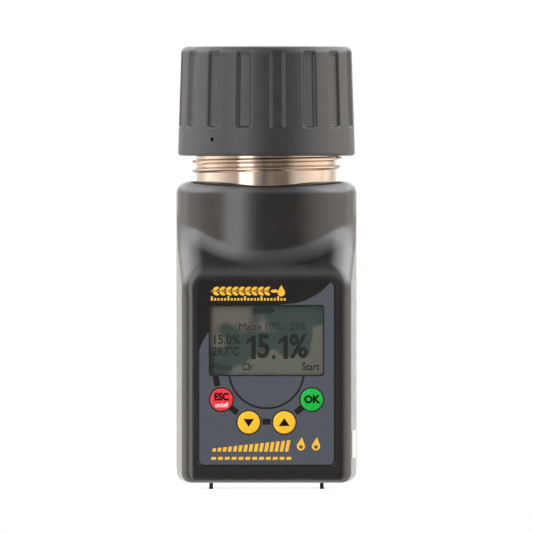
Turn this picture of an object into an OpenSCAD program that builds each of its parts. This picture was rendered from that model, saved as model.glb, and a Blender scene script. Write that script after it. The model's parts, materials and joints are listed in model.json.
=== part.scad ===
// Hand-held grain moisture meter with a screw-down measuring chamber.
// Millimetres. X to the right, Y to the back, Z up, the keypad faces -Y.
// The origin is on the surface the meter stands on, under the chamber axis.

/* [Body] */
// Width of the body across its sides
body_w = 82; // [81:0.5:84]
// Depth of the barrel, front to back
body_d = 70; // [70:0.5:72]
// How far the keypad block stands out in front of the barrel
step_out = 3.4; // [3:0.1:4]
// Height of the shoulder above the standing surface
shoulder_z = 139.6; // [139.2:0.1:140]
// How far the foot strips hold the body up
foot_h = 2.8; // [2.4:0.1:3.2]
// Wall thickness of the housing
wall = 2.5; // [2.4:0.1:2.6]
// Plan radius of the barrel's front
barrel_r = 50; // [49.5:0.5:52]
// Radius of the shoulder's edge
shoulder_r = 5.8; // [4:0.2:6]
// Height of the ledge at the front face
ledge_z = 100; // [99:0.5:101]

/* [Keypad and display] */
// Width of the keypad overlay
overlay_w = 62; // [60:0.5:62.5]
// Height of the keypad overlay
overlay_h = 83.6; // [83:0.2:84]
// Width of the display opening
window_w = 51.2; // [49:0.2:51.6]
// Height of the display opening
window_h = 31.2; // [29:0.2:31.6]
// Diameter of a key
key_d = 10.2; // [9.6:0.1:10.4]
// Travel of a key
key_travel = 0.5; // [0.3:0.1:0.5]

/* [Measuring chamber] */
// Bore of the measuring chamber
chamber_d = 58; // [57:0.5:58.5]
// Diameter at the root of the neck thread
neck_d = 64.7; // [64.3:0.1:64.9]
// Height of the neck thread's ridge
thread_h = 2.15; // [1.8:0.05:2.2]
// Pitch of the neck thread
thread_pitch = 3.7; // [3.7:0.1:3.7]
// Height of the neck rim
rim_z = 174; // [173.5:0.1:174.5]

/* [Cap] */
// Height of the cap's lower edge
cap_z = 151.1; // [150.9:0.1:151.4]
// Height of the cap
cap_h = 49.7; // [49.5:0.1:50]
// Diameter of the cap at its lower edge
cap_d = 80.5; // [80:0.1:81]
// Diameter of the cap at its top
cap_top_d = 77.4; // [77:0.1:78]
// Number of grip grooves
grip_count = 16; // [12:1:18]
// Depth of a grip groove
grip_depth = 1.3; // [0.8:0.1:1.5]
// Free travel of the sprung presser
presser_travel = 6; // [4:0.5:6]

/* [Power] */
// Diameter of a cell
cell_d = 14.2; // [13.9:0.1:14.4]
// Length of a cell with its nub
cell_l = 50.5; // [50:0.1:51]

/* [Hidden] */
$fn = 96;

half_w = body_w / 2;
half_d = body_d / 2;
front_y = -half_d - step_out;
split_y = 6;
front_half_w = half_w - 3;
taper_y = -8;
base_z = foot_h;
slope = 0.875;
ledge_edge_r = 10;
ledge_back_y = taper_y - 1;
barrel_y = barrel_r - half_d;
neck_r = neck_d / 2;
chamber_r = chamber_d / 2;
crest_r = neck_r + thread_h;
groove_r = neck_r - 1.35;
cup_body_r = neck_r - 0.35;
lip_low_z = shoulder_z - 5.3;
lip_top_z = shoulder_z - 2.9;
cup_z = 126;
chamber_z = 138;
fit = 0.3;

panel_y = front_y + 0.9;
overlay_t = 0.5;
overlay_z = 52.6;
window_z = 67.5;
glass_y = front_y + 3;
backlight_y = front_y + 4.8;
display_board_y = front_y + 7;
display_board_t = 1.2;
circuit_y = front_y + 5.6;
circuit_t = 1.2;
board_y = front_y + 11;
board_t = 1.6;
board_half_w = 32;
board_low_z = 16;
board_top_z = 98;
plug_h = 6;
power_plug = [-22, 87];
sensor_plug = [12, 92];
key_r = key_d / 2;
key_flange = 0.7;
key_flange_t = 0.3;
key_stem_r = 2.4;
dome_h = 0.5;
key_stem_y = circuit_y - dome_h - key_travel - 0.2;
key_places = [[-20.4, 40.7], [-8.05, 30.4], [8.05, 30.4], [20.5, 40.7]];
screw_places = [[-33, 8.6], [33, 8.6], [-33, 106], [33, 106]];
case_screw_r = 1.5;
screw_head_h = 2;
seat_y = half_d - 8;
seat_r = 3.1;
board_screw_places = [[-28, 20], [28, 20], [-28, 94], [28, 94]];

spacer_places = [for (a = [60, 180, 300]) 22 * [cos(a), sin(a)]];
sensor_board_z = 118;
sensor_board_t = 1.6;
base_t = 7;
electrode_r = 3;
probe_x = 15;
probe_r = 2;

thread_start_z = 142.5;
thread_turns = 8;
thread_sides = 32;
ridge_base = 1.0;
ridge_crest = 0.5;
thread_gap = 0.3;
insert_r = 36.5;
insert_z = 152.6;
insert_h = 20;
insert_turns = 4;

cap_r = cap_d / 2;
cap_top_r = cap_top_d / 2;
cap_top_z = cap_z + cap_h;
roof_z = cap_top_z - 4.8;
cap_inner_r = 35.3;
lock_screw_turn = -128;
lock_screw_z = 158.6;
grip_turn = -82.6;
grip_z = 164.3;
cap_taper = atan((cap_r - cap_top_r) / cap_h);
well_r = 15.4;
disc_z = 160;
disc_t = 4.5;
stem_r = 4;
head_z = 176.7;
head_h = 5.3;
pin_r = 2.4;
pin_top_z = cap_top_z - presser_travel - 0.2;
sleeve_z = 174;
flange_z = 193;

cell_pitch = 14.8;
cell_y = 23.3;
cell_z = 17.4;
cell_r = cell_d / 2;
nub_h = 1;
door_w = 62.4;
door_z = 13.3;
door_h = 62.7;
door_t = 2.3;
door_gap = 0.3;
hinge_y = half_d - door_t / 2;
hinge_z = door_z + door_t / 2;
hinge_pin_r = 0.7;
hinge_pin_x = door_w / 2 + 1.3;
tray_back_y = half_d - 3.1;
tray_front_y = 14;
tray_half_w = 32.3;
tray_low_z = 13.4;
tray_top_z = 77;
tray_inner_top_z = 70.4;
door_screw_z = 73.4;
rear_label_z = 104;
rear_label_w = 51;
rear_label_h = 35;
side_label_w = 17;
side_label_h = 12.6;
side_label_t = 0.2;
side_label_z = 14;
side_label_from = 7.5;
label_recess = 0.4;
foot_x = 25.15;
foot_w = 1.8;
foot_l = 58;
foot_key = 1.5;

// ---- outlines -------------------------------------------------------

function unit(v) = v / norm(v);

// Points of the arc that rounds the corner b between its neighbours a and c
function corner(a, b, c, r, n) =
    r <= 0 ? [b] :
    let (u = unit(a - b), w = unit(c - b), half = acos(u * w) / 2)
    let (middle = b + unit(u + w) * r / sin(half), turn = 180 - 2 * half)
    let (way = (b.x - a.x) * (c.y - b.y) - (b.y - a.y) * (c.x - b.x) > 0 ? 1 : -1)
    let (start = b + u * r / tan(half) - middle, from = atan2(start.y, start.x))
    [for (i = [0:n]) middle + r * [cos(from + way * turn * i / n), sin(from + way * turn * i / n)]];

// A polygon with each corner rounded by its own radius
function rounded(points, radii, n = 8) =
    let (count = len(points))
    [for (i = [0:count - 1])
        each corner(points[(i + count - 1) % count], points[i], points[(i + 1) % count], radii[i], n)];

// A counter-clockwise polygon with every side moved inwards by d
function inset(points, d) =
    let (count = len(points))
    [for (i = [0:count - 1])
        let (a = points[(i + count - 1) % count], b = points[i], c = points[(i + 1) % count])
        let (e = unit(b - a), f = unit(c - b), m = [-e.y, e.x], k = [-f.y, f.x])
        b + (m + k) * d / (1 + m * k)];

// A rounded rectangle centred on the origin
module rounded_rect(w, h, r) {
    polygon(rounded([[-w / 2, -h / 2], [w / 2, -h / 2], [w / 2, h / 2], [-w / 2, h / 2]], [r, r, r, r]));
}

// Extrudes an X-Z outline from the front plane y = from back to y = to
module front_prism(from, to) {
    translate([0, to, 0]) rotate([90, 0, 0]) linear_extrude(to - from) children();
}

// A cylinder along Y between two planes
module y_rod(x, z, from, to, r) {
    translate([x, to, z]) rotate([90, 0, 0]) cylinder(r = r, h = to - from);
}

// A box given by its lowest and highest corners
module block(low, high) {
    translate(low) cube(high - low);
}

// A tube between two heights
module tube(low, high, outer, inner) {
    translate([0, 0, low]) difference() {
        cylinder(r = outer, h = high - low);
        translate([0, 0, -1]) cylinder(r = inner, h = high - low + 2);
    }
}

// A round rod of radius r swept along a path, with flat ends
module swept_rod(path, r, sides) {
    last = len(path) - 1;
    rings = [for (i = [0:last])
        let (ahead = unit(path[min(i + 1, last)] - path[max(i - 1, 0)]))
        let (helper = abs(ahead.z) < 0.9 ? [0, 0, 1] : [0, 1, 0])
        let (u = unit(cross(helper, ahead)), v = cross(ahead, u))
        for (k = [0:sides - 1]) path[i] + r * (cos(360 * k / sides) * u + sin(360 * k / sides) * v)];
    walls = [for (i = [0:last - 1], k = [0:sides - 1])
        let (n = (k + 1) % sides, a = i * sides, b = a + sides)
        each [[a + k, b + k, b + n], [a + k, b + n, a + n]]];
    ends = [[for (k = [0:sides - 1]) k], [for (k = [sides - 1:-1:0]) last * sides + k]];
    polyhedron(rings, concat(walls, ends));
}

// Points of a cubic curve between a and d, drawn by b and c
function curve(a, b, c, d, n) =
    [for (i = [0:n]) let (t = i / n, s = 1 - t)
        s * s * s * a + 3 * s * s * t * b + 3 * s * t * t * c + t * t * t * d];

// A helical thread ridge from a wall radius to a tip radius, fading out at both ends
module thread_ridge(wall_r, tip_r, base_half, tip_half, from_z, turns) {
    last = turns * thread_sides;
    points = [for (i = [0:last])
        let (a = 360 * i / thread_sides, z = from_z + thread_pitch * i / thread_sides)
        let (grown = min(1, (i + 0.5) * 3 / thread_sides, (last - i + 0.5) * 3 / thread_sides))
        let (r = wall_r + (tip_r - wall_r) * grown)
        let (half = base_half + (tip_half - base_half) * grown)
        each [
            [wall_r * cos(a), wall_r * sin(a), z - base_half],
            [r * cos(a), r * sin(a), z - half],
            [r * cos(a), r * sin(a), z + half],
            [wall_r * cos(a), wall_r * sin(a), z + base_half]
        ]];
    out = tip_r > wall_r;
    walls = [for (i = [0:last - 1], k = [0:3])
        let (a = 4 * i + k, b = 4 * i + (k + 1) % 4, c = a + 4, d = b + 4)
        each out ? [[a, b, d], [a, d, c]] : [[a, d, b], [a, c, d]]];
    first_end = out ? [3, 2, 1, 0] : [0, 1, 2, 3];
    last_end = [for (k = first_end) 4 * last + 3 - k];
    polyhedron(points, concat(walls, [first_end, last_end]));
}

// ---- housing --------------------------------------------------------

// The body's solid, with every surface moved inwards by d
module body_solid(d) {
    plan = [
        [-front_half_w, front_y], [front_half_w, front_y], [half_w, taper_y],
        [half_w, half_d], [-half_w, half_d], [-half_w, taper_y]
    ];
    front = [[-half_w, base_z], [half_w, base_z], [half_w, shoulder_z], [-half_w, shoulder_z]];
    side = [
        [front_y, base_z], [half_d, base_z], [half_d, shoulder_z], [ledge_back_y, shoulder_z],
        [ledge_back_y, ledge_z + slope * (ledge_back_y - front_y)], [front_y, ledge_z]
    ];
    across = [[-half_w, -150], [half_w, -150], [half_w, 0], [-half_w, 0]];
    edge = shoulder_r - d;
    top = shoulder_z - d;
    barrel = [
        [0, 80], [barrel_r - d, 80],
        each corner([barrel_r - d, 80], [barrel_r - d, top], [0, top], edge, 8), [0, top]
    ];
    intersection() {
        linear_extrude(shoulder_z + 1)
            polygon(rounded(inset(plan, d), [5 - d, 5 - d, 40, 10 - d, 10 - d, 40]));
        front_prism(front_y - 1, half_d + 1)
            polygon(rounded(inset(front, d), [5.2 - d, 5.2 - d, edge, edge]));
        union() {
            translate([0, barrel_y, 0]) rotate_extrude($fn = 180) polygon(barrel);
            intersection() {
                translate([-half_w - 1, 0, 0]) rotate([90, 0, 90]) linear_extrude(body_w + 2)
                    polygon(rounded(inset(side, d), [3.2 - d / 2, 4 - d, edge, 0, 0, 2.5 + d]));
                union() {
                    translate([0, front_y, ledge_z]) rotate([atan(slope), 0, 0]) front_prism(-60, 90)
                        polygon(rounded(inset(across, d), [0, 0, ledge_edge_r - d, ledge_edge_r - d]));
                    block([-half_w - 1, ledge_back_y, 0], [half_w + 1, half_d + 1, shoulder_z + 1]);
                }
            }
        }
    }
}

module body_cavity() {
    intersection() {
        body_solid(wall);
        block([-half_w, front_y, base_z], [half_w, half_d, lip_low_z]);
    }
}

module cup_opening() {
    translate([0, 0, lip_low_z - 1]) cylinder(r = groove_r + fit, h = shoulder_z - lip_low_z + 2);
    translate([0, 0, lip_top_z]) cylinder(r = neck_r + fit, h = shoulder_z - lip_top_z + 1);
}

module foot_slots(side) {
    block([side * foot_x - foot_w / 2, -foot_l / 2, base_z - 1],
        [side * foot_x + foot_w / 2, foot_l / 2, base_z + foot_key]);
}

module front_housing() {
    color([0.12, 0.12, 0.125]) difference() {
        union() {
            difference() {
                body_solid(0);
                body_cavity();
            }
            intersection() {
                body_solid(0);
                front_bosses();
            }
        }
        block([-half_w - 1, split_y, 0], [half_w + 1, half_d + 1, shoulder_z + 1]);
        cup_opening();
        foot_slots(-1);
        foot_slots(1);
        front_prism(front_y - 1, panel_y) translate([0, overlay_z])
            rounded_rect(overlay_w + 0.8, overlay_h + 0.8, 3);
        front_prism(front_y, panel_y + 2) translate([0, window_z])
            rounded_rect(window_w + 2.6, window_h + 2.6, 1);
        for (p = key_places) {
            y_rod(p.x, p.y, panel_y - 1, panel_y + 1, key_r + key_flange + fit);
            y_rod(p.x, p.y, panel_y, panel_y + 3, key_stem_r + fit);
        }
        for (p = screw_places) y_rod(p.x, p.y, split_y - 16, split_y + 1, 1.55);
        for (p = board_screw_places) y_rod(p.x, p.y, board_y - 5, board_y + 1, 1.05);
    }
}

// Columns that take the case screws and the main board's screws
module front_bosses() {
    for (p = screw_places) {
        y_rod(p.x, p.y, split_y - 18, split_y, 4);
        block([min(p.x, sign(p.x) * half_w), split_y - 18, p.y - 1.5],
            [max(p.x, sign(p.x) * half_w), split_y, p.y + 1.5]);
    }
    for (p = board_screw_places) y_rod(p.x, p.y, front_y + wall - 0.2, board_y, 2.6);
}

module rear_housing() {
    color([0.12, 0.12, 0.125]) difference() {
        union() {
            difference() {
                body_solid(0);
                body_cavity();
            }
            intersection() {
                body_solid(0);
                rear_bosses();
            }
        }
        block([-half_w - 1, front_y - 1, 0], [half_w + 1, split_y, shoulder_z + 1]);
        cup_opening();
        foot_slots(-1);
        foot_slots(1);
        for (p = screw_places) {
            y_rod(p.x, p.y, split_y - 1, half_d, 1.7);
            y_rod(p.x, p.y, seat_y, half_d + 1, seat_r);
        }
        block([-door_w / 2 - door_gap, half_d - wall - 1, door_z - door_gap],
            [door_w / 2 + door_gap, half_d + 1, door_z + door_h + door_gap]);
        hinge_rod(hinge_pin_x + door_gap, hinge_pin_r + 0.15);
        front_prism(half_d - label_recess, half_d + 1) translate([0, rear_label_z])
            rounded_rect(rear_label_w + 1, rear_label_h + 1, 2);
    }
}

module rear_bosses() {
    for (p = screw_places) {
        y_rod(p.x, p.y, split_y, half_d, 4.6);
        block([min(p.x, sign(p.x) * half_w), split_y, p.y - 1.5],
            [max(p.x, sign(p.x) * half_w), half_d - 1, p.y + 1.5]);
    }
}

module case_screws() {
    color("silver") for (p = screw_places) {
        y_rod(p.x, p.y, split_y - 14, seat_y + 0.5, case_screw_r);
        difference() {
            y_rod(p.x, p.y, seat_y, seat_y + screw_head_h, seat_r - 0.35);
            block([p.x - 2, seat_y + 1.2, p.y - 0.35], [p.x + 2, seat_y + 3, p.y + 0.35]);
            block([p.x - 0.35, seat_y + 1.2, p.y - 2], [p.x + 0.35, seat_y + 3, p.y + 2]);
        }
    }
}

module foot_strip(side) {
    color([0.05, 0.05, 0.05])
        block([side * foot_x - foot_w / 2 + 0.02, -foot_l / 2 + 0.1, 0],
            [side * foot_x + foot_w / 2 - 0.02, foot_l / 2 - 0.1, base_z + foot_key]);
}

// The blank label on the tapered part of the right flank
module side_label() {
    run = [half_w - front_half_w, taper_y - front_y];
    color("white") translate([front_half_w, front_y, side_label_z]) rotate([0, 0, atan2(run.y, run.x)])
        translate([side_label_from, -side_label_t, 0]) cube([side_label_w, side_label_t, side_label_h]);
}

module rear_label() {
    color([0.8, 0.8, 0.8]) front_prism(half_d - label_recess, half_d - 0.15) translate([0, rear_label_z])
        rounded_rect(rear_label_w, rear_label_h, 1.5);
}

// ---- keypad and display ---------------------------------------------

module keypad_overlay() {
    color([0.32, 0.33, 0.36]) difference() {
        front_prism(panel_y - overlay_t, panel_y) translate([0, overlay_z])
            rounded_rect(overlay_w, overlay_h, 2.6);
        front_prism(front_y - 1, panel_y + 1) translate([0, window_z])
            rounded_rect(window_w, window_h, 1.1);
        for (p = key_places) y_rod(p.x, p.y, front_y - 1, panel_y + 1, key_r + 0.2);
    }
}

module display_window() {
    color([0.7, 0.8, 0.75, 0.5]) front_prism(panel_y, panel_y + 1.5) translate([0, window_z])
        rounded_rect(window_w + 2.3, window_h + 2.3, 0.9);
}

// A rectangular layer behind the display window, between two planes
module display_layer(w, h, from, to) {
    front_prism(from, to) translate([0, window_z]) square([w, h], center = true);
}

module display_frame() {
    color("silver") difference() {
        display_layer(58, 40, glass_y - 0.4, display_board_y);
        display_layer(53, 33, glass_y - 1, display_board_y + 1);
        display_layer(55.4, 36.4, glass_y, display_board_y + 1);
    }
}

module display_glass() {
    color([0.45, 0.5, 0.45]) display_layer(55, 36, glass_y, backlight_y);
}

module display_backlight() {
    color([0.9, 0.95, 0.9]) display_layer(54, 34, backlight_y, display_board_y);
}

module display_board() {
    color("darkgreen") display_layer(60, 44, display_board_y, display_board_y + display_board_t);
}

module display_header() {
    color([0.1, 0.1, 0.1]) block([-20, display_board_y + display_board_t, 86], [20, board_y, 88.5]);
}

// A key: a round button, a retaining flange under the overlay and a stem
module key_button(place, shade) {
    color(shade) {
        y_rod(place.x, place.y, front_y, panel_y + 0.1, key_r);
        y_rod(place.x, place.y, panel_y + 0.1, panel_y + 0.1 + key_flange_t, key_r + key_flange);
        y_rod(place.x, place.y, panel_y + 0.1 + key_flange_t, key_stem_y, key_stem_r);
    }
}

module snap_domes() {
    color("silver") for (p = key_places) translate([p.x, circuit_y, p.y]) rotate([90, 0, 0])
        cylinder(r1 = 4, r2 = 2.6, h = dome_h);
}

module keypad_circuit() {
    color("darkgreen") block([-28, circuit_y, 23], [28, circuit_y + circuit_t, 47]);
}

module keypad_header() {
    color([0.1, 0.1, 0.1]) block([-10, circuit_y + circuit_t, 24], [10, board_y, 26.5]);
}

// ---- electronics ----------------------------------------------------

module main_board() {
    color("green") difference() {
        block([-board_half_w, board_y, board_low_z], [board_half_w, board_y + board_t, board_top_z]);
        for (p = board_screw_places) y_rod(p.x, p.y, board_y - 1, board_y + board_t + 1, 1.3);
    }
}

module on_board(x, z, w, h, t) {
    back = board_y + board_t;
    block([x - w / 2, back, z - h / 2], [x + w / 2, back + t, z + h / 2]);
}

module main_processor() {
    color([0.1, 0.1, 0.1]) on_board(0, 58, 14, 14, 1.6);
}

module board_chips() {
    color([0.12, 0.12, 0.12]) {
        on_board(-18, 74, 10, 6, 1.5);
        on_board(18, 74, 10, 6, 1.5);
        on_board(-18, 46, 8, 5, 1.5);
        on_board(17, 46, 5, 5, 1.2);
        on_board(0, 42, 11.5, 4.6, 3.6);
    }
}

module board_capacitors() {
    color([0.2, 0.25, 0.45]) for (p = [[-22, 30], [-13, 30], [22, 60]])
        y_rod(p.x, p.y, board_y + board_t, board_y + board_t + 9, 3.2);
}

module buzzer() {
    color([0.08, 0.08, 0.08]) difference() {
        y_rod(17, 31, board_y + board_t, board_y + board_t + 7, 6);
        y_rod(17, 31, board_y + board_t + 3, board_y + board_t + 8, 1);
    }
}

module board_connectors() {
    color("ivory") {
        on_board(power_plug.x, power_plug.y, 8, 6, plug_h);
        on_board(sensor_plug.x, sensor_plug.y, 10, 5, plug_h);
    }
}

module board_screws() {
    color("silver") for (p = board_screw_places) {
        y_rod(p.x, p.y, board_y - 4.5, board_y + board_t + 0.1, 1);
        y_rod(p.x, p.y, board_y + board_t, board_y + board_t + 1.4, 2);
    }
}

// ---- measuring chamber ----------------------------------------------

module chamber_cup() {
    chamfer = 0.8;
    profile = [
        [chamber_r + 0.6, cup_z], [cup_body_r, cup_z], [cup_body_r, lip_low_z - fit],
        [groove_r, lip_low_z - fit], [groove_r, lip_top_z + 0.1], [neck_r, lip_top_z + 0.1],
        [neck_r, rim_z - chamfer], [neck_r - chamfer, rim_z], [chamber_r + 0.4, rim_z],
        [chamber_r, rim_z - 0.4], [chamber_r, chamber_z], [chamber_r + 0.6, chamber_z]
    ];
    color([0.8, 0.66, 0.5]) union() {
        rotate_extrude($fn = 180) polygon(profile);
        thread_ridge(neck_r - 0.5, crest_r, ridge_base * 1.2, ridge_crest, thread_start_z, thread_turns);
    }
}

module chamber_base() {
    outer = chamber_r + 0.5;
    low = chamber_z - base_t;
    profile = [
        [electrode_r + 0.05, low], [outer, low], [outer, chamber_z - 4.6], [outer - 2, chamber_z - 4.6],
        [outer - 2, chamber_z - 2.4], [outer, chamber_z - 2.4], [outer, chamber_z],
        [electrode_r + 0.05, chamber_z]
    ];
    color("ivory") difference() {
        rotate_extrude() polygon(profile);
        translate([probe_x, 0, low - 1]) cylinder(r = probe_r + 0.05, h = base_t + 2);
    }
}

module base_seal() {
    color([0.1, 0.1, 0.1]) translate([0, 0, chamber_z - 3.5]) rotate_extrude()
        translate([chamber_r - 0.42, 0]) circle(r = 1, $fn = 32);
}

module base_retaining_ring() {
    color("silver") tube(chamber_z - base_t - 1.4, chamber_z - base_t, chamber_r + 0.5, chamber_r - 3);
}

module centre_electrode() {
    head = [
        [0, chamber_z - 16], [electrode_r, chamber_z - 16], [electrode_r, chamber_z], [9, chamber_z],
        each corner([9, chamber_z], [9, chamber_z + 9], [0, chamber_z + 9], 4, 8), [0, chamber_z + 9]
    ];
    color([0.85, 0.75, 0.6]) rotate_extrude() polygon(head);
}

module electrode_washer() {
    color("silver") tube(chamber_z - base_t - 0.8, chamber_z - base_t, 7, electrode_r + 0.1);
}

module electrode_nut() {
    color("silver") translate([0, 0, chamber_z - base_t - 4.8]) difference() {
        cylinder(r = 6, h = 4, $fn = 6);
        translate([0, 0, -1]) cylinder(r = electrode_r + 0.05, h = 6);
    }
}

module temperature_probe() {
    color("silver") translate([probe_x, 0, 0]) rotate_extrude() polygon([
        [0, chamber_z - 14], [probe_r, chamber_z - 14], [probe_r, chamber_z], [2.8, chamber_z],
        each corner([2.8, chamber_z], [2.8, chamber_z + 2], [0, chamber_z + 2], 1.4, 5),
        [0, chamber_z + 2]
    ]);
}

module sensor_board() {
    color("green") difference() {
        translate([0, 0, sensor_board_z]) cylinder(r = 26, h = sensor_board_t);
        translate([0, 0, sensor_board_z - 1]) cylinder(r = electrode_r + 0.6, h = 4);
    }
}

module sensor_spacers() {
    color("goldenrod") for (p = spacer_places) translate([p.x, p.y, sensor_board_z + sensor_board_t])
        cylinder(r = 2.4, h = chamber_z - base_t - sensor_board_z - sensor_board_t);
}

module sensor_cable() {
    start = [12, -14, sensor_board_z];
    end = [sensor_plug.x, board_y + board_t + plug_h, sensor_plug.y];
    color("gray") swept_rod(curve(start, start - [0, 0, 14], end + [0, 12, 0], end, 16), 1, 8);
}

// ---- power ----------------------------------------------------------

function cell_x(i) = (i - 1.5) * cell_pitch;
function nub_up(i) = i % 2 == 0;

module battery_tray() {
    color([0.15, 0.15, 0.16]) difference() {
        union() {
            block([-tray_half_w, tray_front_y, tray_low_z], [tray_half_w, tray_back_y, tray_top_z]);
            for (x = [-tray_half_w, tray_half_w - 0.7])
                block([x, tray_back_y - 1, tray_low_z], [x + 0.7, half_d - wall - 0.2, tray_top_z]);
        }
        block([-tray_half_w + 2, tray_front_y + 2, tray_low_z + 1],
            [tray_half_w - 2, half_d, tray_inner_top_z]);
        for (side = [-1, 1])
            block([side * 19 - 13, tray_front_y + 2, 70], [side * 19 + 13, half_d, 75]);
        y_rod(0, door_screw_z, tray_back_y - 6, half_d, 2.2);
    }
}

// One coil spring per cell, under the cell's flat end
module battery_springs() {
    steps = 36;
    color("silver") for (i = [0:3]) {
        low = nub_up(i) ? cell_z - 2.4 : cell_z + cell_l + 0.4;
        swept_rod([for (k = [0:steps]) let (a = 360 * 2.5 * k / steps)
            [cell_x(i) + 4 * cos(a), cell_y + 4 * sin(a), low + 2 * k / steps]], 0.35, 6);
    }
}

module battery_plates() {
    color("silver") for (i = [0:3]) {
        low = nub_up(i) ? cell_z + cell_l : cell_z - 0.4;
        block([cell_x(i) - 4.5, cell_y - 4.5, low], [cell_x(i) + 4.5, cell_y + 4.5, low + 0.4]);
    }
}

module cell(i) {
    can = cell_l - nub_h;
    color([0.75, 0.5, 0.25]) translate([cell_x(i), cell_y, cell_z + cell_l / 2])
        rotate([nub_up(i) ? 0 : 180, 0, 0]) translate([0, 0, -cell_l / 2]) rotate_extrude() polygon([
            [0, 0], [cell_r - 0.6, 0], [cell_r, 0.6], [cell_r, can - 0.6], [cell_r - 0.6, can],
            [2.7, can], [2.7, cell_l], [0, cell_l]
        ]);
}

module battery_leads() {
    socket = [power_plug.x, board_y + board_t + plug_h, power_plug.y];
    color("firebrick") for (side = [-1, 1]) {
        tab = [power_plug.x + side * 2, tray_front_y, 66];
        entry = socket + [side * 2, 0, 0];
        swept_rod(curve(tab, tab - [0, 16, 6], entry + [0, 12, 4], entry, 16), 0.7, 8);
    }
}

// A rod along the battery door's hinge axis
module hinge_rod(half_length, r) {
    translate([-half_length, hinge_y, hinge_z]) rotate([0, 90, 0]) cylinder(r = r, h = 2 * half_length);
}

// The battery door: its lower edge is rolled round the hinge axis
module battery_door() {
    inner_y = half_d - door_t;
    top_z = door_z + door_h;
    side = [[inner_y, door_z], [half_d, door_z], [half_d, top_z], [inner_y, top_z]];
    color([0.12, 0.12, 0.125]) difference() {
        union() {
            translate([-door_w / 2, 0, 0]) rotate([90, 0, 90]) linear_extrude(door_w)
                polygon(rounded(side, [door_t / 2 - 0.05, door_t / 2 - 0.05, 0.4, 0.2]));
            hinge_rod(hinge_pin_x, hinge_pin_r);
        }
        y_rod(0, door_screw_z, inner_y - 1, half_d + 1, 1.7);
        y_rod(0, door_screw_z, half_d - 1.3, half_d + 1, seat_r);
        for (i = [0:4]) translate([0, half_d + 0.2, 22 + 3 * i]) rotate([0, 90, 0])
            cylinder(r = 0.9, h = 22, center = true);
    }
}

module door_screw() {
    color("silver") {
        y_rod(0, door_screw_z, tray_back_y - 5, half_d - 1.2, case_screw_r);
        difference() {
            y_rod(0, door_screw_z, half_d - 1.3, half_d - 0.1, seat_r - 0.2);
            block([-3, half_d - 0.7, door_screw_z - 0.4], [3, half_d + 1, door_screw_z + 0.4]);
        }
    }
}

// ---- cap ------------------------------------------------------------

module cap_shell() {
    slant = cap_r - cap_top_r;
    profile = [
        [insert_r, cap_z],
        each corner([insert_r, cap_z], [cap_r, cap_z], [cap_top_r, cap_top_z], 1.5, 5),
        each corner([cap_r, cap_z], [cap_top_r, cap_top_z], [0, cap_top_z], 3.2, 8),
        [pin_r + 0.4, cap_top_z], [pin_r + 0.4, roof_z], [well_r, roof_z],
        [well_r, roof_z - 3.2], [well_r + 1, roof_z - 3.2], [well_r + 1, roof_z - 4.2],
        [well_r, roof_z - 4.2], [well_r, roof_z - 6], [well_r + 3, roof_z - 6], [well_r + 3, roof_z],
        [cap_inner_r - 2, roof_z], [cap_inner_r, roof_z - 2],
        [cap_inner_r, insert_z + insert_h], [insert_r, insert_z + insert_h]
    ];
    color([0.25, 0.25, 0.26]) difference() {
        rotate_extrude($fn = 180) polygon(profile);
        for (i = [0:grip_count - 1]) rotate([0, 0, grip_turn + 360 * i / grip_count]) grip_groove(slant);
        rotate([0, 0, lock_screw_turn]) translate([insert_r - 1, 0, lock_screw_z]) rotate([0, 90, 0])
            cylinder(r = 0.95, h = 8, $fn = 32);
    }
}

// One grip groove: a shallow flat-bottomed flute that follows the cap's slant
module grip_groove(slant) {
    high_z = cap_top_z - 2.2;
    low_r = cap_r - slant * (grip_z - cap_z) / cap_h - grip_depth;
    translate([low_r, 0, grip_z]) rotate([0, -cap_taper, 0]) linear_extrude(high_z - grip_z)
        polygon([[0, -2.3], [grip_depth + 1, -4.2], [grip_depth + 1, 4.2], [0, 2.3]]);
}

module cap_thread_insert() {
    root_r = crest_r + 0.35;
    color([0.75, 0.62, 0.45]) union() {
        tube(insert_z, insert_z + insert_h, insert_r, root_r);
        thread_ridge(root_r + 0.4, neck_r + 0.35, thread_pitch / 2 - ridge_crest - thread_gap,
            thread_pitch / 2 - ridge_base - thread_gap, thread_start_z + thread_pitch * 3.5, insert_turns);
    }
}

module insert_lock_screw() {
    color("black") rotate([0, 0, lock_screw_turn]) translate([insert_r, 0, lock_screw_z]) rotate([0, 90, 0])
        cylinder(r = 0.9, h = 2, $fn = 32);
}

module thrust_washer() {
    color("ivory") tube(roof_z - 0.8, roof_z, 14.6, 8);
}

module guide_sleeve() {
    color("silver") rotate_extrude() polygon([
        [stem_r + 0.3, sleeve_z], [10, sleeve_z], [10, flange_z], [15, flange_z],
        [15, roof_z - 0.8], [7.5, roof_z - 0.8], [7.5, head_z - 0.1], [stem_r + 0.3, head_z - 0.1]
    ]);
}

module sleeve_circlip() {
    color("dimgray") difference() {
        tube(roof_z - 4.1, roof_z - 3.3, well_r + 0.9, well_r - 1.2);
        block([0, -3, roof_z - 5], [20, 3, roof_z]);
    }
}

module pressing_disc() {
    r = chamber_r - 0.6;
    color("silver") rotate_extrude() polygon([
        [0, disc_z], [r - 1, disc_z], [r, disc_z + 1], [r, disc_z + 3], [16, disc_z + disc_t],
        [0, disc_z + disc_t]
    ]);
}

module presser_stem() {
    color("silver") rotate_extrude() polygon([
        [0, disc_z + disc_t], [stem_r, disc_z + disc_t], [stem_r, head_z], [7, head_z],
        [7, head_z + head_h], [0, head_z + head_h]
    ]);
}

module indicator_pin() {
    color("crimson") translate([0, 0, head_z + head_h])
        cylinder(r = pin_r, h = pin_top_z - head_z - head_h);
}

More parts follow.
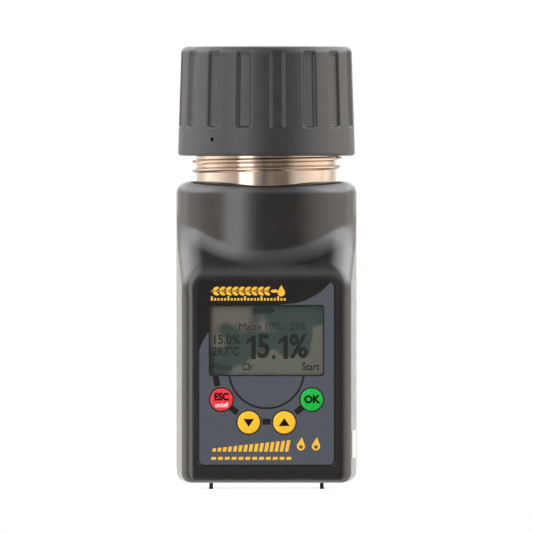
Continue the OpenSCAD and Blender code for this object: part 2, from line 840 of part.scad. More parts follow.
module presser_spring() {
    turns = 6;
    wire = 1.1;
    low = disc_z + disc_t + wire + 0.05;
    high = flange_z - wire - 0.05;
    steps = turns * 16;
    color("silver") swept_rod([for (k = [0:steps]) let (a = 360 * turns * k / steps)
        [12 * cos(a), 12 * sin(a), low + (high - low) * k / steps]], wire, 8);
}

front_housing();
rear_housing();
keypad_overlay();
display_window();
display_frame();
display_glass();
display_backlight();
display_board();
display_header();
key_button(key_places[0], "red");  // key_esc
key_button(key_places[1], "gold");  // key_down
key_button(key_places[2], "gold");  // key_up
key_button(key_places[3], "green");  // key_ok
snap_domes();
keypad_circuit();
keypad_header();
main_board();
main_processor();
board_chips();
board_capacitors();
buzzer();
board_connectors();
board_screws();
chamber_cup();
chamber_base();
base_seal();
base_retaining_ring();
centre_electrode();
electrode_washer();
electrode_nut();
temperature_probe();
sensor_board();
sensor_spacers();
sensor_cable();
battery_tray();
battery_springs();
battery_plates();
cell(0);  // cell_1
cell(1);  // cell_2
cell(2);  // cell_3
cell(3);  // cell_4
battery_leads();
battery_door();
door_screw();
case_screws();
foot_strip(-1);  // foot_left
foot_strip(1);  // foot_right
side_label();
rear_label();
cap_shell();
cap_thread_insert();
insert_lock_screw();
thrust_washer();
guide_sleeve();
sleeve_circlip();
pressing_disc();
presser_stem();
indicator_pin();
presser_spring();
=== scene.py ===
import json
import math

import bpy
import numpy as np
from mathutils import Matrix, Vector


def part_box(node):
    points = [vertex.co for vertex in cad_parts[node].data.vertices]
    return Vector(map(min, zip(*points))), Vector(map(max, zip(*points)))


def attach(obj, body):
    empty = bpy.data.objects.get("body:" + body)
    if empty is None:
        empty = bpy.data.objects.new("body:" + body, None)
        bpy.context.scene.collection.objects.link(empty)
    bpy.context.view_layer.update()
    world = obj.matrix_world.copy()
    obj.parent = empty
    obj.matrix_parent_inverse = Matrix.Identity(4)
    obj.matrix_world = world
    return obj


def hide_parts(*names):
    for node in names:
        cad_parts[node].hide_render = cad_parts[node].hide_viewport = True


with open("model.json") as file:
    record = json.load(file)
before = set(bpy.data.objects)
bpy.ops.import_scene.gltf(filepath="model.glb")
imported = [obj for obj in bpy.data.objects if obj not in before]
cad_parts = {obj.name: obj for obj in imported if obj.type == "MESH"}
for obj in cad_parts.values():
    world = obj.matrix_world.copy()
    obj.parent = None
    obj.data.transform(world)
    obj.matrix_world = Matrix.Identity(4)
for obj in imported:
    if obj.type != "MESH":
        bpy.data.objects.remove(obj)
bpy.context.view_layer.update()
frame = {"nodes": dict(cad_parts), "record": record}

MM = 0.001


# ---------------------------------------------------------------- frame sizes
def mm_box(node):
    """A node's lowest and highest corners, in millimetres."""
    low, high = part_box(node)
    return np.array(low) / MM, np.array(high) / MM


FRONT_LOW, FRONT_HIGH = mm_box("front_housing")
OVERLAY_LOW, OVERLAY_HIGH = mm_box("keypad_overlay")
WINDOW_LOW, WINDOW_HIGH = mm_box("display_window")
CUP_LOW, CUP_HIGH = mm_box("chamber_cup")
CAP_LOW, CAP_HIGH = mm_box("cap_shell")
DOOR_LOW, DOOR_HIGH = mm_box("battery_door")
# Rounded, because the frame's corners carry noise beyond a thousandth of a millimetre.
LABEL_LOW, LABEL_HIGH = np.round(mm_box("rear_label"), 3)
FOOT_LOW, FOOT_HIGH = mm_box("foot_left")
KEYS = {name: mm_box("key_" + name) for name in ("esc", "down", "up", "ok")}

HALF_W = FRONT_HIGH[0]
FRONT_Y = FRONT_LOW[1]
REAR_Y = mm_box("rear_housing")[1][1]
SPLIT_Y = FRONT_HIGH[1]
BASE_Z = FRONT_LOW[2]
SHOULDER_Z = FRONT_HIGH[2]
PANEL_Y = OVERLAY_HIGH[1]
PRINT_Y = OVERLAY_LOW[1]
GLASS_Y = mm_box("display_glass")[0][1]
KEY_FRONT_Y = KEYS["ok"][0][1]
INSERT_TOP_Z = mm_box("cap_thread_insert")[1][2]
WALL = 2.5
FIT = 0.3


# ---------------------------------------------------------------- materials
def new_material(name):
    mat = bpy.data.materials.new(name)
    mat.use_nodes = True
    tree = mat.node_tree
    shader = tree.nodes["Principled BSDF"]
    return mat, tree, shader


def node(tree, kind, inputs=None, **props):
    made = tree.nodes.new(kind)
    for key, value in props.items():
        setattr(made, key, value)
    for key, value in (inputs or {}).items():
        if isinstance(value, bpy.types.NodeSocket):
            tree.links.new(value, made.inputs[key])
        else:
            made.inputs[key].default_value = value
    return made


def object_coords(tree):
    return node(tree, "ShaderNodeTexCoord").outputs["Object"]


def noise(tree, size_mm, detail):
    """Noise whose features are about size_mm across."""
    made = node(tree, "ShaderNodeTexNoise",
                {"Vector": object_coords(tree), "Scale": 1 / (size_mm * MM), "Detail": detail})
    return made.outputs["Fac"]


def ramp(tree, factor, stops):
    """A colour ramp through (position, colour) stops."""
    made = node(tree, "ShaderNodeValToRGB", {"Fac": factor})
    elements = made.color_ramp.elements
    while len(elements) < len(stops):
        elements.new(0.5)
    for element, (position, colour) in zip(elements, stops):
        element.position = position
        element.color = (*colour, 1.0)
    return made.outputs["Color"]


def span(tree, factor, low, high):
    """Maps the middle of a noise's range to low..high."""
    made = node(tree, "ShaderNodeMapRange",
                {"Value": factor, "From Min": 0.3, "From Max": 0.7, "To Min": low, "To Max": high})
    return made.outputs["Result"]


def bump(tree, shader, layers):
    """Chains bumps of (height socket, depth in mm, strength) into the shader's normal."""
    normal = None
    for height, depth_mm, strength in layers:
        inputs = {"Height": height, "Distance": depth_mm * MM, "Strength": strength}
        if normal is not None:
            inputs["Normal"] = normal
        normal = node(tree, "ShaderNodeBump", inputs).outputs["Normal"]
    tree.links.new(normal, shader.inputs["Normal"])


def plastic(name, colour, rough, grain_mm, grain_depth, variation=0.12, rough_swing=0.06, specular=0.5,
            ior=1.5):
    """Moulded plastic: an eroded grain, slow colour drift and slightly uneven gloss."""
    mat, tree, shader = new_material(name)
    drift = noise(tree, 14, 3)
    dark = tuple(c * (1 - variation) for c in colour)
    light = tuple(c * (1 + variation) for c in colour)
    tree.links.new(ramp(tree, drift, [(0.3, dark), (0.7, light)]), shader.inputs["Base Color"])
    gloss = noise(tree, 5, 4)
    tree.links.new(span(tree, gloss, rough - rough_swing, rough + rough_swing), shader.inputs["Roughness"])
    shader.inputs["Specular IOR Level"].default_value = specular
    shader.inputs["IOR"].default_value = ior
    fine, coarse = noise(tree, grain_mm, 3), noise(tree, grain_mm * 4, 2)
    bump(tree, shader, [(fine, grain_depth, 0.6), (coarse, grain_depth, 0.35)])
    return mat


def metal(name, colour, rough, stain=None):
    """Polished metal that drifts between its colour and a darker stain, with a very fine grain."""
    mat, tree, shader = new_material(name)
    shader.inputs["Metallic"].default_value = 1.0
    drift = noise(tree, 9, 4)
    low = stain or tuple(c * 0.9 for c in colour)
    tree.links.new(ramp(tree, drift, [(0.32, low), (0.68, colour)]), shader.inputs["Base Color"])
    tree.links.new(span(tree, noise(tree, 3, 5), rough * 0.8, rough * 1.3), shader.inputs["Roughness"])
    bump(tree, shader, [(noise(tree, 0.18, 3), 0.004, 0.4)])
    return mat


def simple(name, colour, rough, size_mm=2.0, coat=0.0, specular=0.5):
    """A smooth paint, print or gloss plastic with a faint mottle."""
    mat, tree, shader = new_material(name)
    tone = noise(tree, size_mm, 3)
    variation = 0.06
    dark = tuple(c * (1 - variation) for c in colour)
    light = tuple(min(1.0, c * (1 + variation)) for c in colour)
    tree.links.new(ramp(tree, tone, [(0.3, dark), (0.7, light)]), shader.inputs["Base Color"])
    gloss = noise(tree, size_mm * 2, 3)
    tree.links.new(span(tree, gloss, rough * 0.9, rough * 1.12), shader.inputs["Roughness"])
    shader.inputs["Specular IOR Level"].default_value = specular
    shader.inputs["Coat Weight"].default_value = coat
    shader.inputs["Coat Roughness"].default_value = 0.12
    bump(tree, shader, [(noise(tree, size_mm * 0.2, 2), 0.004, 0.3)])
    return mat


BODY = plastic("body_black", (0.0036, 0.0029, 0.0031), 0.25, 0.5, 0.014, rough_swing=0.03, specular=0.9,
               ior=1.57)
CAP = plastic("cap_charcoal", (0.0095, 0.009, 0.0096), 0.43, 0.4, 0.02, variation=0.16, rough_swing=0.05,
              specular=0.9)
NECK = metal("warm_nickel", (0.7, 0.59, 0.505), 0.1, stain=(0.62, 0.515, 0.44))
STEEL = metal("steel", (0.62, 0.62, 0.63), 0.28)
BRASS = metal("brass", (0.78, 0.58, 0.28), 0.25)
RUBBER = plastic("rubber_black", (0.012, 0.012, 0.012), 0.6, 0.4, 0.02)
OVERLAY = simple("overlay_slate", (0.07, 0.08, 0.098), 0.42, size_mm=1.2)
# Black print ink, also used for the painted shade band just inside the overlay's edge.
PRINT_AND_SHADE_BLACK = simple("print_and_shade_black", (0.011, 0.009, 0.009), 0.42, specular=0.25)
PRINT_AMBER = simple("print_amber", (0.95, 0.53, 0.045), 0.4)
KEY_RED = simple("key_red", (0.86, 0.032, 0.042), 0.32, coat=0.2)
KEY_YELLOW = simple("key_yellow", (0.98, 0.56, 0.025), 0.32, coat=0.2)
KEY_GREEN = simple("key_green", (0.0, 0.48, 0.055), 0.32, coat=0.2)
LEGEND_BLACK = simple("legend_black", (0.005, 0.003, 0.003), 0.5, specular=0.12)
LEGEND_WHITE = simple("legend_white", (0.85, 0.8, 0.8), 0.4)
PAPER = simple("label_paper", (0.62, 0.62, 0.63), 0.5, size_mm=0.6)
CIRCUIT = simple("solder_resist", (0.015, 0.12, 0.045), 0.35, size_mm=4)
IVORY = simple("ivory_plastic", (0.72, 0.69, 0.6), 0.45)
BLACK_PARTS = simple("black_parts", (0.018, 0.018, 0.018), 0.45)
CAPACITOR = simple("capacitor_sleeve", (0.03, 0.05, 0.22), 0.35)
GREY_CABLE = simple("cable_grey", (0.25, 0.25, 0.26), 0.5)
RED_CABLE = simple("cable_red", (0.5, 0.03, 0.03), 0.45)
CELL = simple("cell_jacket", (0.5, 0.27, 0.07), 0.3, coat=0.3)
INDICATOR = simple("indicator_red", (0.6, 0.03, 0.03), 0.35, coat=0.3)


def display_material():
    """Reflective liquid crystal, its painted reflection grey-green in the middle, brownish at two opposite
    corners.
    """
    mat, tree, shader = new_material("display_glass")
    axes = node(tree, "ShaderNodeSeparateXYZ", {"Vector": object_coords(tree)}).outputs
    along = node(tree, "ShaderNodeMapRange", {
        "Value": axes["X"], "From Min": WINDOW_LOW[0] * MM, "From Max": WINDOW_HIGH[0] * MM,
        "To Min": -0.2, "To Max": 0.35}).outputs["Result"]
    down = node(tree, "ShaderNodeMapRange", {
        "Value": axes["Z"], "From Min": WINDOW_HIGH[2] * MM, "From Max": WINDOW_LOW[2] * MM,
        "To Min": 0.0, "To Max": 0.4}).outputs["Result"]
    both = node(tree, "ShaderNodeMath", {0: along, 1: down}, operation="ADD").outputs[0]
    painted_reflection = node(tree, "ShaderNodeMath", {0: both, 1: noise(tree, 14, 1)}, operation="ADD").outputs[0]
    # The brownish corners and grey-green middle are a painted reflection, placed by X and Z across the
    # window.
    stops = [(0.46, (0.37, 0.3, 0.255)), (0.56, (0.095, 0.13, 0.125)), (0.92, (0.115, 0.155, 0.15)),
             (1.0, (0.36, 0.31, 0.27))]
    tree.links.new(ramp(tree, painted_reflection, stops), shader.inputs["Base Color"])
    tree.links.new(span(tree, noise(tree, 0.5, 2), 0.3, 0.36), shader.inputs["Roughness"])
    bump(tree, shader, [(noise(tree, 0.3, 2), 0.002, 0.2)])
    return mat


def ink_material():
    """Switched-on liquid crystal: a dark, slightly uneven film."""
    mat, tree, shader = new_material("crystal_ink")
    tone = noise(tree, 3, 2)
    tree.links.new(ramp(tree, tone, [(0.3, (0.014, 0.012, 0.010)), (0.7, (0.024, 0.021, 0.017))]),
                   shader.inputs["Base Color"])
    tree.links.new(span(tree, noise(tree, 1, 2), 0.42, 0.5), shader.inputs["Roughness"])
    bump(tree, shader, [(noise(tree, 0.3, 2), 0.002, 0.2)])
    return mat


def window_material():
    """Thin clear acrylic: what is behind shows through, with a faint gloss on top."""
    mat, tree, shader = new_material("clear_window")
    tree.nodes.remove(shader)
    clear = node(tree, "ShaderNodeBsdfTransparent", {"Color": (0.93, 0.96, 0.95, 1.0)})
    gloss = node(tree, "ShaderNodeBsdfAnisotropic", {"Color": (0.9, 0.9, 0.9, 1.0)})
    tree.links.new(span(tree, noise(tree, 6, 2), 0.05, 0.09), gloss.inputs["Roughness"])
    rim = node(tree, "ShaderNodeFresnel", {"IOR": 1.35})
    mix = node(tree, "ShaderNodeMixShader", {0: rim.outputs[0], 1: clear.outputs[0], 2: gloss.outputs[0]})
    tree.links.new(mix.outputs[0], tree.nodes["Material Output"].inputs["Surface"])
    return mat


DISPLAY = display_material()
INK = ink_material()
WINDOW = window_material()


# ---------------------------------------------------------------- mesh helpers
def mesh_object(name, vertices, faces, mat, smooth_deg=None):
    """An object from millimetre vertices."""
    mesh = bpy.data.meshes.new(name)
    mesh.from_pydata((np.asarray(vertices, float) * MM).tolist(), [], [list(map(int, f)) for f in faces])
    mesh.validate()
    obj = bpy.data.objects.new(name, mesh)
    bpy.context.scene.collection.objects.link(obj)
    mesh.materials.append(mat)
    if smooth_deg is not None:
        shade(obj, smooth_deg)
    return obj


def shade(obj, degrees):
    mesh = obj.data
    mesh.polygons.foreach_set("use_smooth", [True] * len(mesh.polygons))
    mesh.set_sharp_from_angle(angle=math.radians(degrees))


def finish_piece(obj, body, slot, *nodes):
    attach(obj, body)
    if nodes:
        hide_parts(*nodes)


def apply_modifiers(obj):
    """Bakes the modifiers into the mesh."""
    graph = bpy.context.evaluated_depsgraph_get()
    made = bpy.data.meshes.new_from_object(obj.evaluated_get(graph))
    obj.modifiers.clear()
    old = obj.data
    obj.data = made
    bpy.data.meshes.remove(old)


def combine(obj, tool, operation="DIFFERENCE"):
    """Cuts or joins with a tool object, which is then removed."""
    modifier = obj.modifiers.new("combine", "BOOLEAN")
    modifier.operation = operation
    modifier.solver = "MANIFOLD"
    modifier.object = tool
    apply_modifiers(obj)
    bpy.data.objects.remove(tool)


def joined_tool(parts):
    """One tool object from several separate closed shells."""
    vertices, faces = [], []
    for points, polygons in parts:
        start = len(vertices)
        vertices += [tuple(p) for p in points]
        faces += [[start + i for i in polygon] for polygon in polygons]
    return mesh_object("tool", vertices, faces, BODY)


def circle(x, y, r, count=64):
    turn = [2 * math.pi * i / count for i in range(count)]
    return [(x + r * math.cos(a), y + r * math.sin(a)) for a in turn]


def arc_points(cx, cy, r, start, end, steps):
    """Points of an arc, angles in degrees."""
    turns = [math.radians(start + (end - start) * i / steps) for i in range(steps + 1)]
    return [(cx + r * math.cos(a), cy + r * math.sin(a)) for a in turns]


def rounded_box(x0, y0, x1, y1, r):
    """A counter-clockwise rectangle with rounded corners."""
    corners = [(x1 - r, y0 + r, -90), (x1 - r, y1 - r, 0), (x0 + r, y1 - r, 90), (x0 + r, y0 + r, 180)]
    points = []
    for cx, cy, start in corners:
        points += arc_points(cx, cy, r, start, start + 90, 8)
    return points


def grown_outline(low, high, grow, r):
    """The rounded X-Z outline of a box, moved out by grow on every side."""
    return rounded_box(low[0] - grow, low[2] - grow, high[0] + grow, high[2] + grow, r)


def revolved(rows):
    """Vertices and faces of a closed loop of rings: rows[i][k] is point k of ring i."""
    rows = np.asarray(rows, float)
    rings, count = rows.shape[:2]
    index = np.arange(rings * count).reshape(rings, count)
    up = np.roll(index, -1, 0)
    faces = np.stack([index, np.roll(index, -1, 1), np.roll(up, -1, 1), up], -1).reshape(-1, 4)
    return rows.reshape(-1, 3), faces


# ---------------------------------------------------------------- body shape
BARREL_R = 50.0
BARREL_Y = 16.0
SHOULDER_R = 5.8
LEDGE_Z = 100.0
SLOPE = 0.875
TAPER_Y = -8.0
FRONT_HALF_W = 38.0
LEDGE_FILLET = 4.0
LEDGE_EDGE_R = 10.0
TAPER_BLEND = 0.8
REAR_CORNER_R = 10.0
BARREL_CORNER_R = 4.6
BASE_EDGE_R = 4.6
FRONT_EDGE_R, FRONT_EDGE_DROP = 5.2, 2.4


def smooth_step(t):
    t = np.clip(t, 0, 1)
    return t * t * (3 - 2 * t)


def meet(a, b, r):
    """Distance to the intersection of two solids, its edge rounded by r."""
    return np.minimum(np.maximum(a, b), -r) + np.hypot(np.maximum(a + r, 0), np.maximum(b + r, 0))


def merge(a, b, r):
    """Distance to the union of two solids, its inner corner filled by radius r."""
    return np.maximum(np.minimum(a, b), r) - np.hypot(np.maximum(r - a, 0), np.maximum(r - b, 0))


def soft_max(a, b, width):
    """The larger of two values, blended where they lie within width of each other."""
    gap = np.maximum(width - np.abs(a - b), 0) / width
    return np.maximum(a, b) + gap * gap * width / 4


def body_distance(p):
    """Signed distance in mm from points to the body's outer surface, negative inside."""
    x, y, z = np.abs(p[..., 0]), p[..., 1], p[..., 2]
    run = np.array([HALF_W - FRONT_HALF_W, TAPER_Y - FRONT_Y])
    run = run / np.hypot(*run)
    taper = run[1] * (x - HALF_W) - run[0] * (y - TAPER_Y)
    sides = soft_max(taper, x - HALF_W, TAPER_BLEND)
    ring = meet(sides, y - REAR_Y, REAR_CORNER_R)
    barrel = meet(ring, np.hypot(x, y - BARREL_Y) - BARREL_R, BARREL_CORNER_R)
    ledge = (z - LEDGE_Z - SLOPE * (y - FRONT_Y)) / math.hypot(1, SLOPE)
    keypad_block = meet(ring, ledge, LEDGE_EDGE_R)
    shape = np.maximum(merge(barrel, keypad_block, LEDGE_FILLET), ring)
    front_r = FRONT_EDGE_R - FRONT_EDGE_DROP * smooth_step((z - LEDGE_Z + 14) / 12)
    shape = meet(shape, FRONT_Y - y, front_r)
    shape = meet(shape, z - SHOULDER_Z, SHOULDER_R)
    return meet(shape, BASE_Z - z, BASE_EDGE_R)


def surface_net(distance, low, high, step):
    """Vertices and quads of the surface distance = 0, each vertex moved onto it."""
    axes = [np.arange(a - 2 * step, b + 3 * step, step) for a, b in zip(low, high)]
    grid = np.stack(np.meshgrid(*axes, indexing="ij"), -1)
    inside = distance(grid) < 0
    total = np.zeros([n - 1 for n in inside.shape], int)
    for dx in (0, 1):
        for dy in (0, 1):
            for dz in (0, 1):
                total += inside[dx:dx + total.shape[0], dy:dy + total.shape[1], dz:dz + total.shape[2]]
    mixed_cells = (total > 0) & (total < 8)
    number = np.full(total.shape, -1)
    number[mixed_cells] = np.arange(mixed_cells.sum())
    points = grid[:-1, :-1, :-1][mixed_cells] + step / 2
    faces = []
    for axis in range(3):
        moved = np.moveaxis(inside, axis, 0)
        cross = moved[:-1] != moved[1:]
        out = moved[:-1] & ~moved[1:]
        cells = np.moveaxis(number, axis, 0)
        where = np.argwhere(cross[:, 1:-1, 1:-1]) + [0, 1, 1]
        i, j, k = where.T
        quad = np.stack([cells[i, j - 1, k - 1], cells[i, j, k - 1], cells[i, j, k], cells[i, j - 1, k]], -1)
        flip = ~out[i, j, k]
        if axis == 1:
            flip = ~flip
        quad[flip] = quad[flip][:, ::-1]
        faces.append(quad)
    nudge = 0.02
    for _ in range(8):
        value = distance(points)
        rises = [distance(points + nudge * d) - distance(points - nudge * d) for d in np.eye(3)]
        slope = np.stack(rises, -1) / (2 * nudge)
        size = np.maximum((slope ** 2).sum(-1), 0.05)
        move = slope * (value / size)[:, None]
        length = np.linalg.norm(move, axis=1, keepdims=True)
        points = points - move * np.minimum(1, 0.5 * step / np.maximum(length, 1e-9))
    return points, np.concatenate(faces)


def body_mesh(name, distance, step):
    points, faces = surface_net(distance, (-HALF_W, FRONT_Y, BASE_Z), (HALF_W, REAR_Y, SHOULDER_Z), step)
    return mesh_object(name, points, faces, BODY)


def ring_faces(base, count, flip):
    """Quads between the ring of points at base and the next one."""
    quads = [[base + i, base + (i + 1) % count, base + (i + 1) % count + count, base + i + count]
             for i in range(count)]
    return [q[::-1] for q in quads] if flip else quads


def loft(sections, axis="y"):
    """A closed solid through (counter-clockwise outline, level) sections along Y or Z, lowest first."""
    count = len(sections[0][0])
    last = count * (len(sections) - 1)
    placed = [(u, v, level) for outline, level in sections for u, v in outline]
    points = [(u, level, v) for u, v, level in placed] if axis == "y" else placed
    faces = [list(range(count)), list(range(last + count - 1, last - 1, -1))]
    for s in range(len(sections) - 1):
        faces += ring_faces(s * count, count, True)
    return points, faces if axis == "y" else [f[::-1] for f in faces]


def block(low, high):
    """A box between its lowest and highest corners."""
    outline = [(low[0], low[2]), (high[0], low[2]), (high[0], high[2]), (low[0], high[2])]
    return loft([(outline, low[1]), (outline, high[1])])


def lathe(profile, count=96):
    """A closed solid turned round Z from (radius, z) points whose ends lie on the axis."""
    turn = np.linspace(0, 2 * math.pi, count, endpoint=False)
    points = [(0, 0, profile[0][1])]
    for r, z in profile[1:-1]:
        points += [(r * math.cos(a), r * math.sin(a), z) for a in turn]
    points.append((0, 0, profile[-1][1]))
    faces = [[0, 1 + (i + 1) % count, 1 + i] for i in range(count)]
    for ring in range(len(profile) - 3):
        faces += ring_faces(1 + ring * count, count, False)
    last = len(points) - 1
    faces += [[last, last - count + i, last - count + (i + 1) % count] for i in range(count)]
    return np.array(points), faces


# ---------------------------------------------------------------- housing
LIP_LOW_Z = SHOULDER_Z - 5.3
LIP_TOP_Z = SHOULDER_Z - 2.9
NECK_R = 32.35
GROOVE_R = NECK_R - 1.35
SCREW_X, SCREW_ZS = 33.0, (8.6, 106.0)
SCREW_COLUMN_R, SCREW_HOLE_R, SCREW_SEAT_R, SCREW_MOUTH_R = 4.6, 1.7, 3.1, 3.7
SCREW_SEAT_Y = REAR_Y - 8
FOOT_SLOT_HALF_W = 0.9
DOOR_HALF_W = 31.2
HINGE_INSET, HINGE_R = 1.15, 0.85
KEY_R = 5.1
KEY_STEM_R = 2.4


def key_centre(name):
    low, high = KEYS[name]
    return (low[0] + high[0]) / 2, (low[2] + high[2]) / 2


def hollow_distance(p):
    """Signed distance to the housing's cavity, its screw columns left standing."""
    cup = np.maximum(np.hypot(p[..., 0], p[..., 1]) - NECK_R, CUP_LOW[2] - 1 - p[..., 2])
    shape = np.maximum(np.minimum(body_distance(p) + WALL, cup), p[..., 2] - LIP_LOW_Z)
    for z in SCREW_ZS:
        from_axis = np.hypot(np.abs(p[..., 0]) - SCREW_X, p[..., 2] - z)
        shape = np.maximum(shape, SCREW_COLUMN_R - from_axis)
    return shape


def panel_holes():
    """The display opening and a stepped hole for each key."""
    opening = grown_outline(WINDOW_LOW, WINDOW_HIGH, 0.15, 1.0)
    holes = [loft([(opening, PANEL_Y - 1), (opening, PANEL_Y + 4)])]
    for name in KEYS:
        x, z = key_centre(name)
        pocket, stem = circle(x, z, KEY_R + 1), circle(x, z, KEY_STEM_R + FIT)
        holes.append(loft([(pocket, PANEL_Y - 1), (pocket, PANEL_Y + 1),
                           (stem, PANEL_Y + 1), (stem, PANEL_Y + 4)]))
    return holes


def screw_holes():
    """Counterbored holes for the case screws, their mouths slightly flared."""
    holes = []
    for side in (-1, 1):
        for z in SCREW_ZS:
            hole, seat, mouth = [circle(side * SCREW_X, z, r)
                                 for r in (SCREW_HOLE_R, SCREW_SEAT_R, SCREW_MOUTH_R)]
            holes.append(loft([(hole, SPLIT_Y - 14), (hole, SCREW_SEAT_Y), (seat, SCREW_SEAT_Y),
                               (seat, REAR_Y - 0.3), (mouth, REAR_Y + 0.3)]))
    return holes


def foot_slots():
    slots = []
    for side in (-1, 1):
        middle = side * (FOOT_HIGH[0] + FOOT_LOW[0]) / -2
        slots.append(block((middle - FOOT_SLOT_HALF_W, FOOT_LOW[1] - 0.1, BASE_Z - 1),
                           (middle + FOOT_SLOT_HALF_W, FOOT_HIGH[1] + 0.1, FOOT_HIGH[2])))
    return slots


def door_opening():
    """The battery door's opening, slightly wider at its outer edge."""
    # Rounded for the same reason as the label's corners.
    low_z, high_z = np.round((DOOR_LOW[2], DOOR_HIGH[2]), 3)
    levels = ((FIT, 0.4, REAR_Y - WALL - 1), (FIT, 0.4, REAR_Y - 0.25), (0.7, 0.7, REAR_Y + 0.2))
    sections = []
    for grow, r, level in levels:
        outline = rounded_box(-DOOR_HALF_W - grow, low_z - grow, DOOR_HALF_W + grow, high_z + grow, r)
        sections.append((outline, level))
    return loft(sections)


def hinge_hole():
    """A bore across the body for the battery door's hinge pins."""
    bore = circle(REAR_Y - HINGE_INSET, DOOR_LOW[2] + HINGE_INSET, HINGE_R, 32)
    points, faces = loft([(bore, DOOR_LOW[0] - FIT), (bore, DOOR_HIGH[0] + FIT)], "z")
    return [(x, y, z) for y, z, x in points], faces


def make_housing():
    """Both housing halves, cut from one hollowed body and then parted."""
    outer = body_mesh("body_front_shell", body_distance, 0.7)
    combine(outer, body_mesh("cavity", hollow_distance, 1.2))
    groove = circle(0, 0, GROOVE_R + FIT, 192)
    combine(outer, joined_tool([loft([(groove, LIP_LOW_Z - 1), (groove, SHOULDER_Z + 1)], "z")]))
    bore, mouth = circle(0, 0, NECK_R + FIT, 192), circle(0, 0, NECK_R + FIT + 0.7, 192)
    combine(outer, joined_tool([loft([(bore, LIP_TOP_Z), (bore, SHOULDER_Z - 0.5),
                                      (mouth, SHOULDER_Z + 0.2)], "z")]))
    seat = grown_outline(OVERLAY_LOW, OVERLAY_HIGH, 0.4, 3.0)
    flare = grown_outline(OVERLAY_LOW, OVERLAY_HIGH, 0.95, 3.5)
    combine(outer, joined_tool([loft([(flare, FRONT_Y - 0.4), (seat, FRONT_Y + 0.25), (seat, PANEL_Y)])]))
    combine(outer, joined_tool(panel_holes() + screw_holes() + foot_slots() + [door_opening()]))
    recess = grown_outline(LABEL_LOW, LABEL_HIGH, 0.5, 2)
    combine(outer, joined_tool([loft([(recess, REAR_Y - 0.4), (recess, REAR_Y + 1)])]))
    combine(outer, joined_tool([hinge_hole()]))
    rear = outer.copy()
    rear.data = outer.data.copy()
    rear.name = "body_rear_shell"
    bpy.context.scene.collection.objects.link(rear)
    far, seam = 60, 0.06
    combine(outer, joined_tool([block((-far, SPLIT_Y - seam, -far), (far, far, 3 * far))]))
    combine(rear, joined_tool([block((-far, -far, -far), (far, SPLIT_Y + seam, 3 * far))]))
    for shell, replaced in ((outer, "front_housing"), (rear, "rear_housing")):
        shade(shell, 32)
        finish_piece(shell, "root", "black_plastic", replaced)


make_housing()


# ---------------------------------------------------------------- neck
THREAD_START_Z, THREAD_PITCH, THREAD_TURNS = 142.5, 3.7, 8
CHAMBER_R, CHAMBER_FLOOR_Z = 29.0, 138.0


def thread_ridge(root_r, crest_r):
    """A helical ridge with a rounded crest, sinking into the wall at both ends."""
    sides, width, crest = 96, 1.3, 0.42
    shape = [(-1.0, -width), (0.0, -width), (0.06, -width * 0.9), (0.5, -width * 0.66), (0.9, -crest)]
    shape += [(0.985, -crest * 0.6), (1.0, 0.0)]
    shape += [(up, -across) for up, across in shape[-2::-1]]
    steps = THREAD_TURNS * sides
    points = []
    for i in range(steps + 1):
        turn = 2 * math.pi * i / sides
        grown = float(smooth_step(0.06 + 3 * min(i, steps - i) / sides))
        for up, across in shape:
            r = root_r - 0.4 if up < 0 else root_r - 0.25 * (1 - grown) + (crest_r - root_r) * up * grown
            z = THREAD_START_Z + THREAD_PITCH * i / sides + across
            points.append((r * math.cos(turn), r * math.sin(turn), z))
    count = len(shape)
    faces = [list(range(count)), list(range(len(points) - 1, len(points) - count - 1, -1))]
    for i in range(steps):
        faces += ring_faces(i * count, count, True)
    return points, faces


def make_neck():
    """The threaded cup: a turned wall with a ridge wound round it."""
    count = 256
    angle = np.linspace(0, 2 * math.pi, count, endpoint=False)
    rim_z, low_z = CUP_HIGH[2], CUP_LOW[2]
    wall, skirt_r, rim_r, lip_r = NECK_R - 0.35, 29.6, 0.8, 0.5
    outline = [(skirt_r, low_z), (wall - 0.4, low_z), (wall, low_z + 0.4), (wall, LIP_LOW_Z - FIT),
               (GROOVE_R, LIP_LOW_Z - FIT), (GROOVE_R, LIP_TOP_Z + 0.1), (NECK_R, LIP_TOP_Z + 0.1)]
    outline += [(NECK_R, z) for z in np.linspace(LIP_TOP_Z + 1, rim_z - 1.2, 24)]
    outline += arc_points(NECK_R - rim_r, rim_z - rim_r, rim_r, 0, 90, 5)
    outline += arc_points(CHAMBER_R + lip_r, rim_z - lip_r, lip_r, 90, 180, 5)
    outline += [(CHAMBER_R, CHAMBER_FLOOR_Z), (skirt_r, CHAMBER_FLOOR_Z)]
    rows = [np.stack([r * np.cos(angle), r * np.sin(angle), np.full(count, z)], -1) for r, z in outline]
    neck = mesh_object("cup_neck", *revolved(rows), NECK)
    combine(neck, joined_tool([thread_ridge(NECK_R, CUP_HIGH[0])]), "UNION")
    shade(neck, 30)
    finish_piece(neck, "root", "warm_nickel", "chamber_cup")


make_neck()


